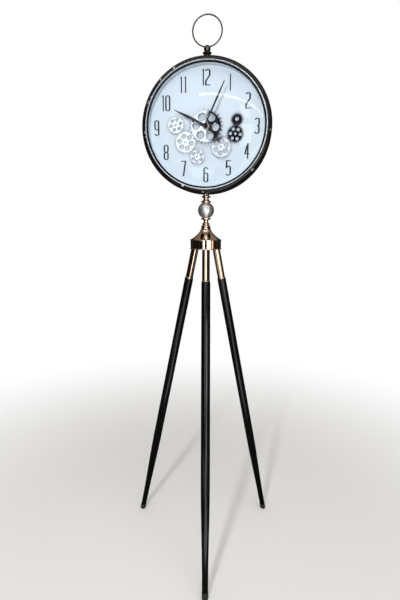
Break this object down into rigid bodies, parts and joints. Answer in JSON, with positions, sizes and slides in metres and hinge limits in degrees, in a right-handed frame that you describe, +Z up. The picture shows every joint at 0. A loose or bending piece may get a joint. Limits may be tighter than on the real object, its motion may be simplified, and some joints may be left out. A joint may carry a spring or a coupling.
{
  "type": "tripod floor clock",
  "caption": "Floor clock: a round glazed head with open gears on its dial and a watch-style bow on top, set on a turned stem and a splayed tripod of slim tapered legs.",
  "frame": {"origin": "on the floor, at the middle of the clock's bounding box", "axes": "+Z up, the dial faces -Y, +X towards the 3 on the dial"},
  "size_m": [0.4356, 0.409, 1.5202],
  "materials": {
    "leg_paint": "turned wood under satin black lacquer",
    "rose_gold": "mirror-bright champagne gold plating",
    "satin_silver": "satin silver",
    "plain_steel": "zinc-plated",
    "foot_rubber": "matt moulded",
    "case_lacquer": "gloss black lacquer, rubbed through to silver in small nicks along the rim",
    "bezel_silver": "bright silver",
    "clear_glass": "clear domed glass",
    "dial_enamel": "pale bluish silver-white satin with dark grey printed numerals",
    "gear_chrome": "polished",
    "gear_black_nickel": "polished black nickel",
    "bush_brass": "turned",
    "hand_black": "gloss black",
    "movement_plastic": "moulded black",
    "knob_plastic": "moulded off-white",
    "cell_jacket": "printed-over jacket of a dry cell, left bare",
    "cover_paint": "satin black",
    "bow_bronze": "dark bronze-black plating"
  },
  "bodies": {
    "root": {"leg_front": "leg_paint", "leg_right": "leg_paint", "leg_left": "leg_paint", "ferrule_front": "rose_gold", "ferrule_right": "rose_gold", "ferrule_left": "rose_gold", "leg_stud_front": "plain_steel", "leg_stud_right": "plain_steel", "leg_stud_left": "plain_steel", "rubber_foot_front": "foot_rubber", "rubber_foot_right": "foot_rubber", "rubber_foot_left": "foot_rubber", "hub_drum": "rose_gold", "bell_cover": "rose_gold", "lower_spindle": "rose_gold", "spindle_ball": "satin_silver", "upper_spindle": "rose_gold", "threaded_rod": "plain_steel", "hub_nut": "plain_steel", "case_nut": "plain_steel"},
    "head": {"case_shell": "case_lacquer", "bezel_ring": "bezel_silver", "inner_ring": "case_lacquer", "glass_dome": "clear_glass", "dial_plate": "dial_enamel", "gear_pin_lower_left": "gear_chrome", "gear_pin_left": "gear_chrome", "gear_pin_bottom": "gear_chrome", "gear_pin_right": "gear_chrome", "gear_pin_upper_right": "gear_chrome", "movement_bush": "bush_brass", "bush_nut": "bush_brass", "movement": "movement_plastic", "movement_cell": "cell_jacket", "gear_motor": "movement_plastic", "motor_cell": "cell_jacket", "back_cover": "cover_paint", "cover_screw_1": "plain_steel", "cover_screw_2": "plain_steel", "cover_screw_3": "plain_steel", "pendant_cup": "bow_bronze", "pendant_ball": "bow_bronze"},
    "bow": {"bow_ring": "bow_bronze"},
    "minute_hand": {"minute_arbor": "plain_steel", "minute_hand": "hand_black", "hand_cap": "hand_black"},
    "hour_hand": {"hour_tube": "bush_brass", "hour_hand": "hand_black"},
    "setting_knob": {"setting_knob": "knob_plastic"},
    "centre_wheel": {"centre_drive_wheel": "gear_chrome", "centre_wheel": "gear_chrome"},
    "gear_lower_left": {"gear_lower_left": "gear_chrome"},
    "gear_left": {"gear_left": "gear_chrome"},
    "gear_bottom": {"gear_bottom": "gear_chrome"},
    "gear_lower_right": {"gear_lower_right": "gear_chrome", "motor_shaft": "gear_chrome"},
    "gear_right": {"gear_right": "gear_black_nickel"},
    "gear_upper_right": {"gear_upper_right": "gear_black_nickel"}
  },
  "joints": [
    {"name": "head_swivel", "type": "hinge", "parent": "root", "child": "head", "pos_m": [0.01697, 0.04563, 1.06754], "axis": [0, 0, 1], "range_deg": [-180, 180]},
    {"name": "bow_tilt", "type": "hinge", "parent": "head", "child": "bow", "pos_m": [0.01697, 0.04563, 1.44181], "axis": [1, 0, 0], "range_deg": [-130, 130]},
    {"name": "minute_hand_turn", "type": "hinge", "parent": "head", "child": "minute_hand", "pos_m": [0.01697, 0.03563, 1.24214], "axis": [0, 1, 0], "continuous": true},
    {"name": "hour_hand_turn", "type": "hinge", "parent": "head", "child": "hour_hand", "pos_m": [0.01697, 0.03563, 1.24214], "axis": [0, 1, 0], "continuous": true},
    {"name": "setting_knob_turn", "type": "hinge", "parent": "head", "child": "setting_knob", "pos_m": [0.02597, 0.04973, 1.24214], "axis": [0, 1, 0], "continuous": true},
    {"name": "centre_wheel_turn", "type": "hinge", "parent": "head", "child": "centre_wheel", "pos_m": [0.01697, 0.03563, 1.24214], "axis": [0, 1, 0], "continuous": true},
    {"name": "gear_lower_left_turn", "type": "hinge", "parent": "head", "child": "gear_lower_left", "pos_m": [-0.03833, 0.03563, 1.20343], "axis": [0, 1, 0], "continuous": true},
    {"name": "gear_left_turn", "type": "hinge", "parent": "head", "child": "gear_left", "pos_m": [-0.06513, 0.03563, 1.24822], "axis": [0, 1, 0], "continuous": true},
    {"name": "gear_bottom_turn", "type": "hinge", "parent": "head", "child": "gear_bottom", "pos_m": [-0.00592, 0.03563, 1.16601], "axis": [0, 1, 0], "continuous": true},
    {"name": "gear_lower_right_turn", "type": "hinge", "parent": "head", "child": "gear_lower_right", "pos_m": [0.05797, 0.03563, 1.18966], "axis": [0, 1, 0], "continuous": true},
    {"name": "gear_right_turn", "type": "hinge", "parent": "head", "child": "gear_right", "pos_m": [0.09487, 0.03563, 1.22266], "axis": [0, 1, 0], "continuous": true},
    {"name": "gear_upper_right_turn", "type": "hinge", "parent": "head", "child": "gear_upper_right", "pos_m": [0.09905, 0.03563, 1.25932], "axis": [0, 1, 0], "continuous": true}
  ],
  "couplings": [
    {"joint": "hour_hand_turn", "follows": "minute_hand_turn", "ratio": 0.083333},
    {"joint": "setting_knob_turn", "follows": "minute_hand_turn", "ratio": -3},
    {"joint": "gear_lower_left_turn", "follows": "centre_wheel_turn", "ratio": -1.3438},
    {"joint": "gear_left_turn", "follows": "centre_wheel_turn", "ratio": 1.6538},
    {"joint": "gear_bottom_turn", "follows": "centre_wheel_turn", "ratio": 1.8696},
    {"joint": "gear_lower_right_turn", "follows": "centre_wheel_turn", "ratio": -1.3871},
    {"joint": "gear_right_turn", "follows": "centre_wheel_turn", "ratio": 1.7917},
    {"joint": "gear_upper_right_turn", "follows": "centre_wheel_turn", "ratio": -2.5294}
  ]
}
